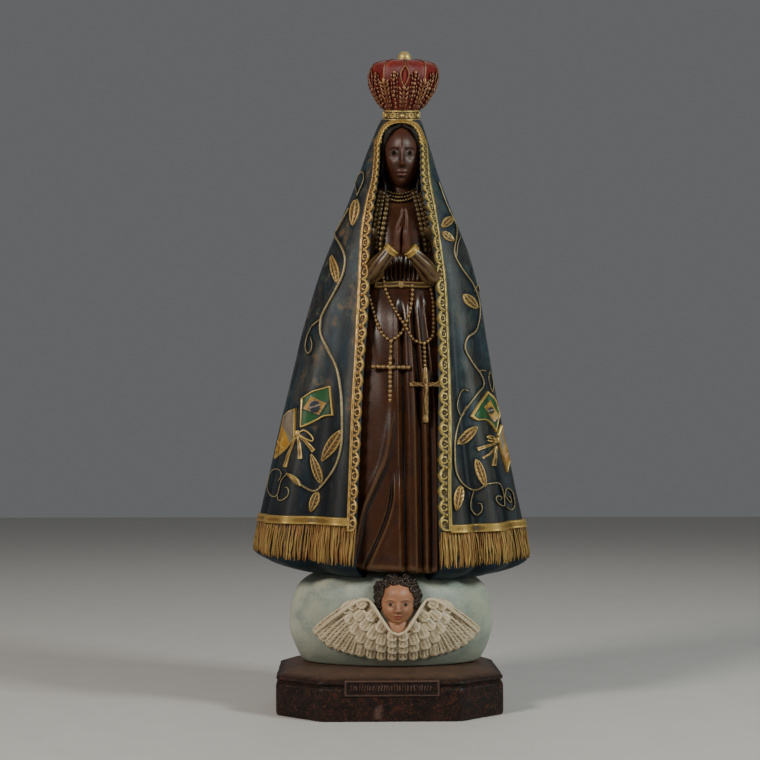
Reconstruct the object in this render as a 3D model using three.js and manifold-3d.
// Painted cast figure of a robed lady with folded hands, crowned, standing on a globe with a winged
// cherub, on an octagonal base. Millimetres, +Z up, front towards -Y, origin on the underside
// below the middle of the whole statue.
import * as THREE from 'three';
import { mergeVertices } from 'three/addons/utils/BufferGeometryUtils.js';
import Module from 'manifold-3d';

const wasm = await Module();
wasm.setup();

// Base
const baseWidth = 200;
const baseShift = -2.6;
const baseDepth = 170;
const baseCutX = 40;
const baseCutY = 35;
const blockTop = 28.5;
const slabTop = 34.5;
const baseCrown = 42.5;
const grooveDepth = 1.6;
const grooveHeight = 2;
const plate = { x: -2, z: 28.4, width: 81, height: 13.4, thick: 4, rim: 1.6, sunk: 0.6 };
const plateProud = 1;

// Gap between the base and the cast figure, and between the head and the crown
const seatGap = 0.3;

// Globe: half width and half depth at each height
const globeTop = 127;
const aroundGlobe = 30;
const globeHalfWidth = profile([
  [42.5, 80], [46, 82.4], [54, 86.5], [63, 90], [72, 92.1], [86, 92.1], [95, 90.3], [104, 87.6],
  [109, 84.9], [115, 79], [121, 68], [125, 52], [127, 36]]);
const globeHalfDepth = profile([
  [42.5, 54], [54, 61], [63, 65], [72, 67.5], [86, 68], [95, 66.5], [104, 64], [115, 59], [121, 52],
  [125, 42], [127, 30]]);

// Mantle: half width, half depth and centre line at each height
const mantleTop = 536;
const mantleHalfWidth = profile([
  [142, 123.2], [160, 120.6], [206, 110.8], [261, 99.3], [297, 92], [344, 83], [380, 74.8],
  [409, 65.7], [436, 55], [474, 39.8], [501, 30.6], [520, 24.2], [530, 20.6], [536, 18]]);
const mantleHalfDepth = profile([
  [142, 73], [206, 67], [261, 62], [344, 54.5], [380, 51], [409, 47], [436, 43], [474, 34.5],
  [501, 28.5], [530, 19.8], [536, 17.5]]);
const leanX = profile([
  [261, 0], [297, 1.2], [344, 3], [380, 5.2], [409, 6.3], [474, 6.7], [511, 7.6], [536, 9.2],
  [575, 11.6], [600, 11.8]]);
const midY = profile([
  [142, 0], [206, -1], [261, -2], [344, -2.5], [380, -4], [409, -5], [436, -6], [474, -8.5],
  [501, -9.5], [530, -8.2], [536, -7.5]]);
const hemMiddle = 137;
const hemSideRise = 3;
const hemFrontDrop = 8;
const ribbonAboveHem = 33;

// Vertical folds of the mantle: place round the body in degrees, width in degrees, height in mm
const mantleFolds = [
  [-62, 9, 3.5], [-50, 7, 5.5], [-37, 8, -5.5], [-24, 6, 3.5], [24, 5, 2.5], [31, 5, 4],
  [37, 4, -4.5], [49, 8, 5], [63, 7, -4], [76, 7, 3], [-78, 8, -3.5], [100, 9, -4.5],
  [116, 9, 5], [134, 10, -5], [152, 10, 5.5], [171, 10, -5], [-171, 9, 4.5], [-152, 10, -5],
  [-134, 10, 5.5], [-116, 10, -5], [-100, 7, 3.5]];
const hemReach = 100;
const ribbonHeight = 7.5;
const fringeComb = 0.9;
const bodyHeights = [212, 246, 282, 320, 356, 388, 416, 443, 469, 495, 516, 529, 536];
const aroundMantle = 42;
const acrossDress = 10;
const mantleShare = 0.82;
const foldFadeLow = 150;
const foldFadeHigh = 440;

// Lace border down both front edges: inner and outer line at each height
const leftInner = profile([
  [142, -32.6], [188, -31.1], [232, -28.9], [275, -27.2], [320, -24.5], [346, -22.3], [382, -20.5],
  [427, -19.1], [456, -15.8], [474, -13], [493, -11.3], [511, -10.3], [520, -7.6], [526, -3.5]]);
const leftOuter = profile([
  [142, -41], [188, -39.3], [232, -37.6], [275, -35.9], [320, -33.3], [346, -32.4], [382, -30.7],
  [427, -28], [456, -22.8], [474, -18.2], [493, -15.9], [511, -14.6], [520, -12.8], [526, -9.8]]);
const rightInner = profile([
  [142, 40], [188, 38.8], [232, 39.1], [275, 39.8], [320, 40.1], [346, 39.4], [382, 38.3],
  [409, 36.7], [427, 35.1], [445, 31.7], [456, 29], [474, 26.3], [511, 25.6], [520, 23.4], [526, 20]]);
const rightOuter = profile([
  [142, 51], [188, 49.2], [232, 49.6], [275, 49.9], [320, 49.3], [346, 48.7], [382, 47.1],
  [409, 43.8], [427, 41.3], [445, 38.9], [456, 37.2], [474, 33.9], [511, 30.9], [520, 28.6],
  [526, 26]]);
const lacePitch = 13.6;
const laceBottom = 150;
const laceTop = 527;
const laceProud = 2.2;
const laceScallop = 2.6;

// Dress front: step back from the mantle's edge, and bulge between the edges
const dressStep = profile([
  [126, 9], [250, 9], [330, 10], [380, 14], [420, 15], [450, 19], [470, 25], [505, 26], [522, 16],
  [534, 3]]);
const dressBulge = profile([[126, 6], [250, 6], [330, 5], [380, 6], [430, 7], [455, 4], [470, 0]]);
const dressBottom = 126;
// Folds of the dress: side place at the hem and at the waist, width and height
const dressFolds = [
  [-30, -4, 3, 2.2], [-14, 0, 4, 2.6], [4, 4, 3, 2], [14, 13, 4, 2.6], [22, 18, 3, 1.8],
  [31, 27, 3, 2.2], [-6, 2, 3, -1.8], [9, 9, 2, -1.8], [26, 23, 2.5, -2]];
const dressFoldTop = 376;

// Head, hair and neck
const headPlace = { x: 8.8, y: -15.5, z: 500, halfWidth: 15.6, halfDepth: 19, halfHeight: 29.5 };
const neck = { x: 8.8, y: -17, low: 445, high: 482, radius: 9 };

// Hands, cuffs and sleeves
const palmPlane = 6.8;
const wrist = { y: -55, z: 409 };
const fingertip = { x: 9.2, y: -61, z: 445 };
const leftCuff = [-1, -57, 409];
const rightCuff = [15.8, -57, 408];
const leftElbow = [-17.5, -47, 387];
const rightElbow = [34, -46, 385];
const belt = { low: 376.5, high: 381.5, proud: 1.6 };

// Crown
const crownSeat = mantleTop + seatGap;
const crownLean = 0.04;
const crownRibs = 10;
const crownProfile = [
  [0, 17.2], [9, 17.2], [11, 17.4], [16, 22.4], [25.4, 28.2], [34, 30.8], [42, 31.6], [47, 30.8],
  [50.5, 28], [53, 20], [54, 9]];
const crownRibRise = profile([[11, 0], [16, 1.2], [30, 1.6], [46, 1.6], [51, 1.2], [54, 0.3]]);
const crownRibStart = 12;
const crownNod = { slope: 0.12, low: 14, high: 46 };
const knobRadius = 6.9;
const knobHeight = 63.4;

// Cherub and wings on the front of the globe
const cherub = { x: 3.4, y: -68.4, z: 99, halfWidth: 15, halfDepth: 14, halfHeight: 20 };
const cherubHair = { x: 3.4, y: -66, z: 107, halfWidth: 20.5, halfDepth: 14, halfHeight: 18.5 };
const wingRoot = { x: 3.4, y: -61, z: 83, halfWidth: 38, halfDepth: 10.5, halfHeight: 22 };
const feathersPerWing = 6;
const covertsPerWing = 4;
const feather = { width: 13, thick: 4.2 };

// Bead strands, crosses, vines, leaves and flags
const strandRadius = 1.9;
const crossThick = 5;
const vineRadius = 1.5;
const reliefProud = 1.6;
const flagProud = 2;
const rootDepth = 5;

// Smooth curve through [place, value] pairs, level beyond its ends
function profile(points) {
  return (place) => {
    const last = points.length - 1;
    if (place <= points[0][0]) return points[0][1];
    if (place >= points[last][0]) return points[last][1];
    let i = 1;
    while (place > points[i][0]) i += 1;
    const [s0, v0] = points[i - 1];
    const [s1, v1] = points[i];
    const before = points[Math.max(i - 2, 0)];
    const after = points[Math.min(i + 1, last)];
    const slope0 = (v1 - before[1]) / (s1 - before[0]);
    const slope1 = (after[1] - v0) / (after[0] - s0);
    const h = s1 - s0;
    const t = (place - s0) / h;
    const t2 = t * t;
    const t3 = t2 * t;
    return (2 * t3 - 3 * t2 + 1) * v0 + (t3 - 2 * t2 + t) * h * slope0
      + (3 * t2 - 2 * t3) * v1 + (t3 - t2) * h * slope1;
  };
}

function smooth(low, high, value) {
  const t = Math.min(Math.max((value - low) / (high - low), 0), 1);
  return t * t * (3 - 2 * t);
}

function bell(distance, width) {
  return Math.exp(-(distance * distance) / (width * width));
}

function vector(x, y, z) {
  return new THREE.Vector3(x, y, z);
}

// Heights round the mantle's bottom edge, by angle from the front
function hemZ(angle) {
  const front = Math.max(Math.cos(angle), 0);
  return hemMiddle - hemSideRise * Math.sin(angle) - hemFrontDrop * front * front;
}

function foldHeight(angle, z) {
  const fade = 1 - smooth(foldFadeLow, foldFadeHigh, z);
  let height = 0;
  for (const [place, width, rise] of mantleFolds) {
    let apart = THREE.MathUtils.radToDeg(angle) - place;
    apart -= 360 * Math.round(apart / 360);
    height += rise * bell(apart, width);
  }
  return height * fade;
}

// Mantle surface: angle 0 is the front, growing towards +X; lift is measured outwards
function mantlePoint(angle, z, lift = 0) {
  const w = mantleHalfWidth(z);
  const d = mantleHalfDepth(z);
  const normal = vector(d * Math.sin(angle), -w * Math.cos(angle), 0).normalize();
  const out = lift + foldHeight(angle, z);
  return vector(
    leanX(z) + w * Math.sin(angle) + out * normal.x,
    midY(z) - d * Math.cos(angle) + out * normal.y, z);
}

// Angle on the front half of the mantle at a side place x
function frontAngle(x, z) {
  const s = (x - leanX(z)) / mantleHalfWidth(z);
  return Math.asin(Math.min(Math.max(s, -0.999), 0.999));
}

function mantleFront(x, z, lift = 0) {
  return mantlePoint(frontAngle(x, z), z, lift);
}

function globeFront(x, z, lift = 0) {
  const w = globeHalfWidth(z);
  const d = globeHalfDepth(z);
  const s = Math.min(Math.max(x / w, -0.99), 0.99);
  const c = Math.sqrt(1 - s * s);
  const normal = vector(d * s, -w * c, 0).normalize();
  return vector(x + lift * normal.x, -d * c + lift * normal.y, z);
}

// Front of the dress between the lace borders
function dressFront(x, z) {
  const left = leftInner(z);
  const right = rightInner(z);
  const edgeY = (mantleFront(left, z).y + mantleFront(right, z).y) / 2;
  const u = (2 * x - left - right) / (right - left);
  let y = edgeY + dressStep(z) - dressBulge(z) * (1 - u * u);
  const up = THREE.MathUtils.clamp((z - dressBottom) / (dressFoldTop - dressBottom), 0, 1);
  const fade = (1 - smooth(0.7, 1, up)) * (1 - 0.7 * Math.abs(u) ** 6);
  for (const [low, high, width, rise] of dressFolds) {
    const place = low + (high - low) * Math.min(up * 1.6, 1);
    y -= rise * fade * bell(x - place, width);
  }
  return vector(x, y, z);
}

// Closed solids from grids and rings of points
function meshOf(points, faces) {
  const geometry = new THREE.BufferGeometry();
  const flat = points.flatMap((p) => [p.x, p.y, p.z]);
  geometry.setAttribute('position', new THREE.Float32BufferAttribute(flat, 3));
  geometry.setIndex(faces.flat());
  return geometry;
}

function solidOf(geometry) {
  const bare = geometry.clone();
  bare.deleteAttribute('normal');
  bare.deleteAttribute('uv');
  const merged = mergeVertices(bare, 1e-4);
  const vertProperties = new Float32Array(merged.attributes.position.array);
  const triVerts = new Uint32Array(merged.index.array);
  const solid = new wasm.Manifold(new wasm.Mesh({ numProp: 3, vertProperties, triVerts }));
  if (solid.volume() > 0) return solid;
  return new wasm.Manifold(new wasm.Mesh({ numProp: 3, vertProperties, triVerts: triVerts.toReversed() }));
}

function geometryOf(solid) {
  const mesh = solid.getMesh();
  const geometry = new THREE.BufferGeometry();
  geometry.setAttribute('position', new THREE.BufferAttribute(mesh.vertProperties, 3));
  geometry.setIndex(new THREE.BufferAttribute(mesh.triVerts, 1));
  return geometry;
}

function mean(points) {
  const sum = points.reduce((total, p) => total.add(p), vector(0, 0, 0));
  return sum.multiplyScalar(1 / points.length);
}

// Skin over rings of points, both ends fanned shut; a ring may say where round it each point lies
function loft(rings) {
  const points = rings.flat();
  const faces = [];
  let start = 0;
  for (let r = 0; r + 1 < rings.length; r += 1) {
    const n = rings[r].length;
    const m = rings[r + 1].length;
    const next = start + n;
    let i = 0;
    let j = 0;
    const lowerPlaces = rings[r].places ?? [];
    const upperPlaces = rings[r + 1].places ?? [];
    while (i < n || j < m) {
      const lower = lowerPlaces[i + 1] ?? (i + 1) / n;
      const upper = upperPlaces[j + 1] ?? (j + 1) / m;
      if (j >= m || (i < n && lower <= upper)) {
        faces.push([start + i, start + ((i + 1) % n), next + (j % m)]);
        i += 1;
      } else {
        faces.push([start + (i % n), next + ((j + 1) % m), next + j]);
        j += 1;
      }
    }
    start = next;
  }
  const first = rings[0].length;
  const lastStart = points.length - rings.at(-1).length;
  const bottom = points.push(mean(rings[0])) - 1;
  const top = points.push(mean(rings.at(-1))) - 1;
  for (let i = 0; i < first; i += 1) faces.push([bottom, (i + 1) % first, i]);
  const count = bottom - lastStart;
  for (let i = 0; i < count; i += 1) {
    faces.push([top, lastStart + i, lastStart + ((i + 1) % count)]);
  }
  return meshOf(points, faces);
}

function ellipsoid(place, around, rows) {
  const geometry = new THREE.SphereGeometry(1, around, rows);
  geometry.rotateX(Math.PI / 2);
  geometry.scale(place.halfWidth, place.halfDepth, place.halfHeight);
  geometry.translate(place.x, place.y, place.z);
  return geometry;
}

// Tube through points, its radius by place along it
function tube(path, radius, sides, steps) {
  const curve = new THREE.CatmullRomCurve3(path);
  const frames = curve.computeFrenetFrames(steps, false);
  const rings = [];
  for (let s = 0; s <= steps; s += 1) {
    const centre = curve.getPointAt(s / steps);
    const size = typeof radius === 'function' ? radius(s / steps) : radius;
    const ring = [];
    for (let k = 0; k < sides; k += 1) {
      const turn = (2 * Math.PI * (k + 0.5)) / sides;
      ring.push(centre.clone()
        .addScaledVector(frames.normals[s], size * Math.cos(turn))
        .addScaledVector(frames.binormals[s], size * Math.sin(turn)));
    }
    rings.push(ring);
  }
  return loft(rings);
}

// Pad with a flat or ridged top, laid on a surface given as surface(x, z, lift); a small one is
// rooted in a single point, a broad one in a ring below the surface
function pad(surface, outline, proud, ridge, rooted = true) {
  const n = outline.length;
  const centreX = outline.reduce((sum, [x]) => sum + x, 0) / n;
  const centreZ = outline.reduce((sum, [, z]) => sum + z, 0) / n;
  const points = outline.map(([x, z]) => surface(x, z, proud));
  points.push(surface(centreX, centreZ, proud + ridge), surface(centreX, centreZ, -rootDepth));
  if (!rooted) points.push(...outline.map(([x, z]) => surface(x, z, -rootDepth)));
  const faces = [];
  for (let i = 0; i < n; i += 1) {
    const j = (i + 1) % n;
    faces.push([n, i, j]);
    if (rooted) faces.push([n + 1, j, i]);
    else faces.push([n + 1, n + 2 + j, n + 2 + i], [n + 2 + i, n + 2 + j, j], [n + 2 + i, j, i]);
  }
  return meshOf(points, faces);
}

function leafOutline(from, to, width) {
  const dx = to[0] - from[0];
  const dz = to[1] - from[1];
  const length = Math.hypot(dx, dz);
  const across = [(-dz / length) * width * 0.5, (dx / length) * width * 0.5];
  const outline = [];
  for (const [along, side] of [[0, 0], [0.3, -1], [0.62, -0.8], [1, 0], [0.62, 0.8], [0.3, 1]]) {
    outline.push([from[0] + dx * along + across[0] * side, from[1] + dz * along + across[1] * side]);
  }
  return outline;
}

// Outlines run anticlockwise seen from the front, where +X is right and +Z is up
function anticlockwise(outline) {
  let area = 0;
  outline.forEach(([x, z], i) => {
    const [nx, nz] = outline[(i + 1) % outline.length];
    area += x * nz - nx * z;
  });
  return area > 0 ? outline : [...outline].reverse();
}

function union(solids) {
  return solids.reduce((whole, solid) => whole.add(solid));
}

// Base: octagon block, groove, slab and gently rising top, with a rimmed plate on the front
function octagon(inset, z) {
  const x = baseWidth / 2 - inset;
  const y = (baseDepth - plateProud) / 2 - inset;
  const cx = baseCutX - inset * 0.4;
  const cy = baseCutY - inset * 0.4;
  return [
    [x, -y + cy], [x, y - cy], [x - cx, y], [-x + cx, y], [-x, y - cy], [-x, -y + cy],
    [-x + cx, -y], [x - cx, -y]].map(([px, py]) => vector(px + baseShift, py + plateProud / 2, z));
}

function makeBase() {
  const levels = [
    [1.2, 0], [0, 1.5], [0, blockTop - 1], [0.8, blockTop - grooveHeight / 2],
    [grooveDepth, blockTop], [0.8, blockTop + grooveHeight / 2], [0.2, blockTop + grooveHeight],
    [0.2, slabTop - 1.5], [1.6, slabTop], [16, baseCrown - 3], [36, baseCrown]];
  const body = solidOf(loft(levels.map(([inset, z]) => octagon(inset, z))));
  const front = -baseDepth / 2;
  const outer = new THREE.BoxGeometry(plate.width, plate.thick, plate.height);
  outer.translate(plate.x, front + plate.thick / 2, plate.z);
  const field = new THREE.BoxGeometry(plate.width - 2 * plate.rim, 2, plate.height - 2 * plate.rim);
  field.translate(plate.x, front + plate.sunk - 1, plate.z);
  return geometryOf(body.add(solidOf(outer)).subtract(solidOf(field)));
}

// Main body: mantle with its ribbon and fringe, its rounded underside, and the dress set back
function bodyRing(z, { shrink = 1, drop = 0, lift = 0, above = 0, ply = 1, comb = 0 } = {}) {
  const ring = [];
  const places = [];
  const nearHem = Math.max(0, 1 - (z - hemMiddle) / hemReach);
  const level = (angle) => z + (hemZ(angle) - hemMiddle) * nearHem - drop + above;
  const start = frontAngle(rightInner(z), z);
  const stop = frontAngle(leftInner(z), z) + 2 * Math.PI;
  const steps = aroundMantle * ply;
  for (let i = 0; i <= steps; i += 1) {
    const angle = start + ((stop - start) * i) / steps;
    const p = mantlePoint(angle, z + above, lift + (i % 2 === 0 ? comb : -comb));
    const size = 1 - (1 - shrink) * (0.8 + 0.2 * Math.abs(Math.sin(angle)));
    ring.push(vector(p.x * size, p.y * size, level(angle)));
    places.push((mantleShare * i) / steps);
  }
  for (let i = 0; i <= acrossDress; i += 1) {
    const x = leftInner(z) + ((rightInner(z) - leftInner(z)) * i) / acrossDress;
    const p = dressFront(x, z + above);
    const size = 1 - (1 - shrink) * 0.55;
    ring.push(vector(p.x * size, p.y * size, level(frontAngle(x, z)) - (drop > 0 ? 1 : 0)));
    places.push(mantleShare + ((1 - mantleShare) * (i + 1)) / (acrossDress + 2));
  }
  ring.places = places;
  return ring;
}

function makeBody() {
  const band = ribbonAboveHem - ribbonHeight / 2;
  const rings = [
    bodyRing(hemMiddle, { shrink: 0.67, drop: 17 }), bodyRing(hemMiddle, { shrink: 0.9, drop: 9 }),
    bodyRing(hemMiddle, { lift: 1.4, ply: 2, comb: fringeComb }),
    bodyRing(hemMiddle, { above: band, lift: 1.4, ply: 2, comb: fringeComb }),
    bodyRing(hemMiddle, { above: band + 1, lift: 2.6 }),
    bodyRing(hemMiddle, { above: band + ribbonHeight, lift: 2 }),
    bodyRing(hemMiddle, { above: band + ribbonHeight + 1 })];
  bodyHeights.forEach((z) => rings.push(bodyRing(z)));
  return solidOf(loft(rings));
}

function makeGlobe() {
  const rings = [];
  for (const z of [baseCrown + seatGap, 52, 64, 80, 96, 108, 117, globeTop]) {
    const ring = [];
    for (let i = 0; i < aroundGlobe; i += 1) {
      const angle = (2 * Math.PI * i) / aroundGlobe;
      ring.push(vector(
        globeHalfWidth(z) * Math.sin(angle), -globeHalfDepth(z) * Math.cos(angle), z));
    }
    rings.push(ring);
  }
  return solidOf(loft(rings));
}

// Scalloped strip down one front edge
function makeLace(inner, outer) {
  const side = Math.sign(outer(laceBottom) - inner(laceBottom));
  const rings = [];
  const perLobe = 2;
  const lobes = Math.floor((laceTop - laceBottom) / lacePitch);
  for (let i = 0; i <= lobes * perLobe; i += 1) {
    const z = laceTop - (i * lacePitch) / perLobe;
    const out = outer(z) + side * 0.4;
    const shrink = smooth(540, 480, z);
    const into = inner(z) + side * (i % perLobe === 0 ? laceScallop * shrink : -0.4);
    const front = (x, lift) => mantleFront(x, z, lift);
    const innerTop = front(into, laceProud);
    const outerTop = front(out, laceProud * 0.7);
    const outerLow = front(out, -3);
    const innerLow = vector(innerTop.x, front(into, 0).y + dressStep(z) * 0.55, z);
    rings.push([innerLow, innerTop, outerTop, outerLow]);
  }
  return solidOf(loft(rings));
}

function makeHead() {
  const face = ellipsoid(headPlace, 12, 10);
  const position = face.attributes.position;
  const { x: hx, y: hy, z: hz, halfWidth, halfDepth, halfHeight } = headPlace;
  for (let i = 0; i < position.count; i += 1) {
    const u = (position.getX(i) - hx) / halfWidth;
    const v = (position.getZ(i) - hz) / halfHeight;
    const front = Math.max(0, (hy - position.getY(i)) / halfDepth);
    const taper = 1 - 0.24 * smooth(0, -1, v);
    const nose = 3.4 * bell(u, 0.24) * bell(v + 0.2, 0.26);
    const chin = 2.2 * bell(u, 0.4) * bell(v + 0.86, 0.2);
    position.setX(i, hx + u * halfWidth * taper);
    position.setY(i, position.getY(i) - front * (nose + chin));
  }
  const parts = [solidOf(face)];
  // Hair parted in the middle, a rounded band from the top down both sides of the face
  for (const side of [-1, 1]) {
    parts.push(solidOf(tube([
      vector(hx, hy - 12, hz + 27), vector(hx + side * 9, hy - 14, hz + 23),
      vector(hx + side * 14.5, hy - 11, hz + 10), vector(hx + side * 16.5, hy - 7, hz - 10),
      vector(hx + side * 18, hy - 6, hz - 34)],
    (t) => 3.4 + 2.2 * Math.sin(Math.PI * t), 5, 6)));
  }
  parts.push(solidOf(tube(
    [vector(neck.x, neck.y, neck.low), vector(neck.x, neck.y, neck.high)], neck.radius, 8, 1)));
  return parts;
}

// Palms pressed together with slim fingers, cuffs and bent sleeves
function makeHands() {
  const parts = [];
  for (const side of [-1, 1]) {
    const rings = [];
    for (const [t, thick, deep] of [[0, 7.5, 8], [0.3, 7.8, 9], [0.6, 4.6, 8], [0.85, 3, 6], [1, 1.4, 3]]) {
      const inner = palmPlane + (fingertip.x - palmPlane) * t - side * 0.4;
      const y = wrist.y + (fingertip.y - wrist.y) * t;
      const z = wrist.z - 4 + (fingertip.z - wrist.z + 4) * t;
      const ring = [];
      for (let k = 0; k < 8; k += 1) {
        const turn = (2 * Math.PI * k) / 8;
        ring.push(vector(
          inner + side * thick * (0.5 + 0.5 * Math.cos(turn)), y + deep * Math.sin(turn) * side, z));
      }
      rings.push(ring);
    }
    parts.push(solidOf(loft(rings)));
    const cuff = vector(...(side < 0 ? leftCuff : rightCuff));
    const elbow = vector(...(side < 0 ? leftElbow : rightElbow));
    const along = cuff.clone().sub(elbow).normalize();
    const cuffLow = cuff.clone().addScaledVector(along, -4);
    const cuffHigh = cuff.clone().addScaledVector(along, 2.5);
    parts.push(solidOf(tube([cuffLow, cuffHigh], 8.6, 8, 1)));
    const middle = elbow.clone().lerp(cuff, 0.5).add(vector(0, -1.5, 1));
    const back = elbow.clone().add(vector(side * 5, 12, 6));
    parts.push(solidOf(tube([back, elbow, middle, cuffLow], (t) => 10.5 - 2.6 * t, 7, 4)));
  }
  return parts;
}

function makeBelt() {
  const rings = [];
  for (let i = 0; i <= 6; i += 1) {
    const x = -9 + (34 * i) / 6;
    const low = dressFront(x, belt.low);
    const high = dressFront(x, belt.high);
    rings.push([
      vector(x, low.y + 2, belt.low), vector(x, high.y + 2, belt.high),
      vector(x, high.y - belt.proud, belt.high), vector(x, low.y - belt.proud, belt.low)]);
  }
  return solidOf(loft(rings));
}

// Bead strands as cords laid on the dress, with the two crosses
function strand(places, steps, lift = 0.6) {
  const path = places.map(([x, z]) => vector(x, dressFront(x, z).y - lift, z));
  return solidOf(tube(path, strandRadius, 3, steps));
}

function cross(centre, reach, width) {
  const y = Math.min(dressFront(centre[0], centre[1]).y, dressFront(centre[0], reach.bottom).y) - 0.2;
  const tall = reach.top - reach.bottom;
  const upright = new THREE.BoxGeometry(width, crossThick, tall);
  upright.translate(centre[0], y, reach.bottom + tall / 2);
  const arms = new THREE.BoxGeometry(reach.right - reach.left, crossThick, width);
  arms.translate((reach.left + reach.right) / 2, y, centre[1]);
  return [solidOf(upright), solidOf(arms)];
}

function makeStrands() {
  return [
    strand([[-8.7, 461.3], [-4.3, 453.3], [8.2, 449.7], [20.6, 453.4], [25.1, 461.5]], 9),
    strand([[-10, 453], [-13.5, 433.5], [-15, 402]], 5),
    strand([[23, 453], [27.7, 433.7], [30.3, 400]], 5),
    strand([[-21.1, 368.4], [-18.5, 359.6], [-11.4, 337.4], [-1.7, 327.7]], 6),
    strand([[17.9, 376], [16.9, 364], [12.5, 346], [10.7, 340], [-1.7, 327.7]], 7),
    strand([[-7, 376], [-3.4, 366.7], [0.1, 358.7], [6.3, 348.1], [16, 331.2], [22.2, 326.8]], 7, 1.2),
    strand([[33.8, 377.5], [36.4, 355.3], [35.5, 333.1], [27.5, 325.9]], 6, 1.2),
    strand([[-1.7, 327.7], [-2.4, 305]], 3),
    strand([[27.6, 326], [28.2, 303]], 3),
    ...cross([-2.6, 304.6], { left: -17.2, right: 13.2, bottom: 274.6, top: 312 }, 4.4),
    ...cross([28.3, 289], { left: 14.4, right: 41.4, bottom: 255.2, top: 303.8 }, 5)];
}

// Raised gilt stems, leaves, curls and flags on the mantle
const leftStem = [
  [-38.2, 451], [-47.9, 433.7], [-50.6, 427.3], [-45.1, 413.9], [-42, 403], [-43.6, 389.4],
  [-48.6, 377.8], [-61.1, 355], [-63.8, 342], [-57.4, 321], [-49.4, 304.7], [-45.3, 276],
  [-45.2, 245], [-51.4, 215.7], [-62.3, 199], [-69.3, 195.5], [-79.1, 199.8], [-92.8, 210]];
const rightStem = [
  [42.1, 475], [47.5, 459.3], [52.1, 448.5], [57.7, 435], [55.5, 408.3], [62, 395], [72.6, 381.6],
  [79.2, 360], [74.7, 338.5], [66.8, 331.5], [64.7, 321.4], [79.8, 298.7], [80.6, 289.7],
  [72.6, 276.8], [62.1, 263.2], [56.8, 249], [54.3, 229.6], [55.1, 211.3], [64, 199], [73.1, 196.2],
  [89.3, 203], [96.1, 199.4]];
const leaves = [
  [[-31.6, 457], [-36, 433], 10], [[-48.6, 379.6], [-54.1, 407], 7], [[-47, 241], [-61.5, 221.5], 11],
  [[-61.4, 201.7], [-71.3, 227], 7], [[-65.3, 194.7], [-71, 178], 8], [[-75, 337], [-78.5, 320], 7],
  [[47.4, 449], [48.5, 432], 6], [[44.5, 426.7], [54.9, 419.6], 6], [[64.4, 370.4], [76.2, 359.8], 9],
  [[57.2, 237.5], [75, 251.8], 9], [[74.5, 222.6], [81.6, 199.6], 8], [[59.4, 199.9], [56.1, 180], 9]];
const curls = [
  [[-112.2, 213.4], [-108, 205], [-102, 200.2], [-107, 191], [-111.3, 185.7]],
  [[-91.9, 213.7], [-96, 205], [-102, 200.2], [-96, 191], [-91.6, 186.4]],
  [[70.3, 193.6], [67.4, 185], [72.8, 175.3], [78.4, 180.4]],
  [[96, 196], [92.5, 189], [97, 182]], [[104, 196], [101, 189], [105.5, 182]]];
const flags = [
  [[-80.1, 277], [-69.8, 283.8], [-54.6, 288.7], [-51.5, 262.1], [-64.3, 257.8], [-84, 249.2]],
  [[-84.2, 269.9], [-96.5, 264.1], [-105, 249.8], [-105, 225.2], [-84, 246.5]],
  [[68.5, 261.5], [79.3, 277], [84.5, 284.5], [93.2, 261.3], [87, 245]],
  [[92.7, 248.6], [101, 240], [106.3, 210.7], [97, 214], [90, 232]]];
const tails = [
  [[-84, 249.2], [-67.7, 231.4]], [[-84, 249.2], [-82.9, 224.4]], [[-84, 249.2], [-94.7, 215.4]],
  [[87.4, 243], [74.6, 229.7]], [[87.4, 243], [82.1, 225.2]], [[87.4, 243], [89.7, 215]]];

function vine(places, steps) {
  const path = places.map(([x, z]) => mantleFront(x, z, 0.4));
  return solidOf(tube(path, vineRadius, 3, steps));
}

function makeRelief() {
  return [
    vine(leftStem, 23), vine(rightStem, 25), ...curls.map((places) => vine(places, 4)),
    ...leaves.map(([from, to, width]) => solidOf(
      pad(mantleFront, anticlockwise(leafOutline(from, to, width)), reliefProud * 0.5, reliefProud))),
    ...flags.map((outline) => solidOf(pad(mantleFront, anticlockwise(outline), flagProud, 0.6, false))),
    ...tails.map(([from, to]) => solidOf(
      pad(mantleFront, anticlockwise(leafOutline(from, to, 3.4)), reliefProud * 0.5, reliefProud)))];
}

// Cherub head with curly hair, and a spread wing of overlapping feathers on each side
function makeCherub() {
  const parts = [solidOf(ellipsoid(cherub, 10, 7))];
  const nose = {
    x: cherub.x, y: cherub.y - cherub.halfDepth, z: cherub.z - 3, halfWidth: 2, halfDepth: 2.4, halfHeight: 3.4,
  };
  parts.push(solidOf(ellipsoid(nose, 5, 4)));
  const curlCount = 7;
  for (let i = 0; i < curlCount; i += 1) {
    const turn = Math.PI * (-0.12 + (1.24 * i) / (curlCount - 1));
    const out = 1 + 0.06 * Math.sin(i * 2.4);
    parts.push(solidOf(ellipsoid({
      x: cherubHair.x + cherubHair.halfWidth * 0.78 * out * Math.cos(turn),
      y: cherubHair.y - 8, z: cherubHair.z - 5 + cherubHair.halfHeight * 0.92 * out * Math.sin(turn),
      halfWidth: 5.4, halfDepth: 7, halfHeight: 5.4,
    }, 6, 4)));
  }
  parts.push(solidOf(ellipsoid(cherubHair, 10, 6)));
  return parts;
}

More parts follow.
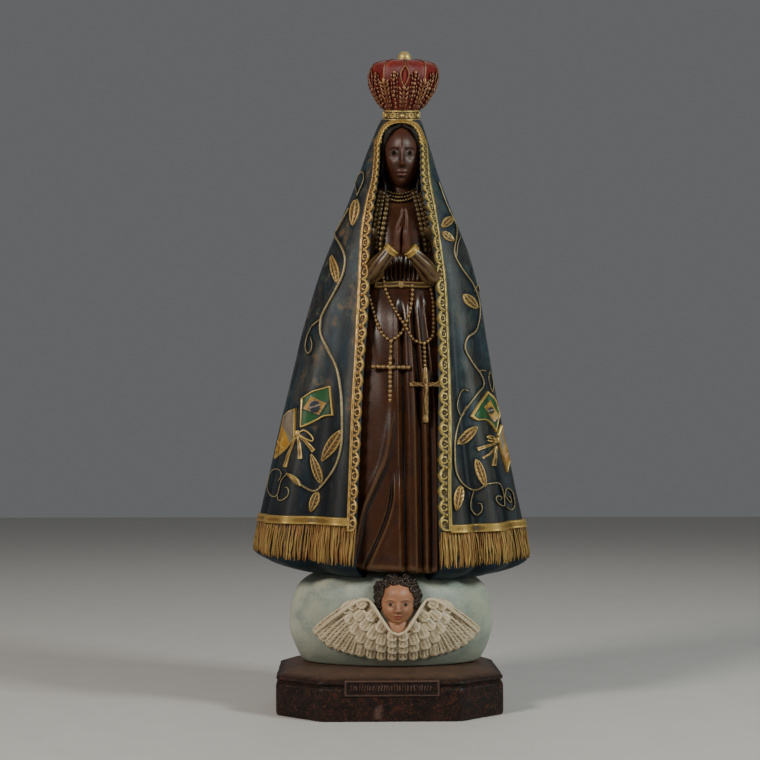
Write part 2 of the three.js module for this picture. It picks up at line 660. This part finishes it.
function featherSolid(root, tip, width, lift) {
  const at = (x, z, out) => globeFront(x, z, out);
  const dx = tip[0] - root[0];
  const dz = tip[1] - root[1];
  const length = Math.hypot(dx, dz);
  const across = [-dz / length, dx / length];
  const rings = [];
  for (const [along, wide] of [[0, 0.6], [0.75, 1], [1, 0.4]]) {
    const x = root[0] + dx * along;
    const z = root[1] + dz * along;
    const half = (width * wide) / 2;
    const side = (sign, out) => at(x + sign * across[0] * half, z + sign * across[1] * half, out);
    rings.push([side(-1, -rootDepth), side(1, -rootDepth), side(1, lift * 0.6), at(x, z, lift),
      side(-1, lift * 0.6)]);
  }
  return solidOf(loft(rings));
}

function makeWings() {
  const parts = [solidOf(ellipsoid(wingRoot, 10, 6))];
  for (const side of [-1, 1]) {
    const place = (x, z) => [cherub.x + side * x, z];
    const rows = [
      { count: feathersPerWing, from: [30, 88], to: [8, 64], tipFrom: [70, 69], tipTo: [7, 48.5], sag: 7, lift: feather.thick - 1 },
      { count: covertsPerWing, from: [26, 96], to: [9, 76], tipFrom: [54, 82], tipTo: [9, 57], sag: 5, lift: feather.thick + 0.8 }];
    for (const row of rows) {
      for (let i = 0; i < row.count; i += 1) {
        const t = i / (row.count - 1);
        const root = [row.from[0] + (row.to[0] - row.from[0]) * t, row.from[1] + (row.to[1] - row.from[1]) * t];
        const tip = [
          row.tipFrom[0] + (row.tipTo[0] - row.tipFrom[0]) * t,
          row.tipFrom[1] + (row.tipTo[1] - row.tipFrom[1]) * t - row.sag * Math.sin(Math.PI * t)];
        parts.push(featherSolid(place(...root), place(...tip), feather.width, row.lift));
      }
    }
  }
  return parts;
}

function makeFigure() {
  return geometryOf(union([
    makeBody(), makeGlobe(), makeLace(leftInner, leftOuter), makeLace(rightInner, rightOuter),
    ...makeHead(), ...makeHands(), makeBelt(), ...makeStrands(), ...makeRelief(),
    ...makeCherub(), ...makeWings()]));
}

function makeCrown() {
  const around = crownRibs * 3;
  const rings = crownProfile.map(([height, radius]) => {
    const ring = [];
    for (let i = 0; i < around; i += 1) {
      const angle = (2 * Math.PI * i) / around;
      const onRib = i % 3 === 0 ? 1 : -0.4;
      const rise = height < crownRibStart ? 0 : crownRibRise(height) * onRib;
      const r = radius + rise;
      const nod = crownNod.slope * r * Math.cos(angle) * smooth(crownNod.low, crownNod.high, height);
      ring.push(vector(
        leanX(mantleTop) + crownLean * height + r * Math.sin(angle),
        midY(mantleTop) - r * Math.cos(angle), crownSeat + height - nod));
    }
    return ring;
  });
  const knob = ellipsoid({
    x: leanX(mantleTop) + crownLean * knobHeight, y: midY(mantleTop),
    z: mantleTop + knobHeight - knobRadius + 0.6,
    halfWidth: knobRadius, halfDepth: knobRadius, halfHeight: knobRadius,
  }, 12, 6);
  return geometryOf(solidOf(loft(rings)).add(solidOf(knob)));
}

function piece(name, geometry, colour, roughness, metalness) {
  const material = new THREE.MeshStandardMaterial({ color: colour, roughness, metalness });
  const mesh = new THREE.Mesh(geometry, material);
  mesh.name = name;
  return mesh;
}

const group = new THREE.Group();
group.add(
  piece('base', makeBase(), 0x2a1714, 0.45, 0),
  piece('figure', makeFigure(), 0x26323f, 0.5, 0),
  piece('crown', makeCrown(), 0x8a2a20, 0.42, 0.2));

export default group;
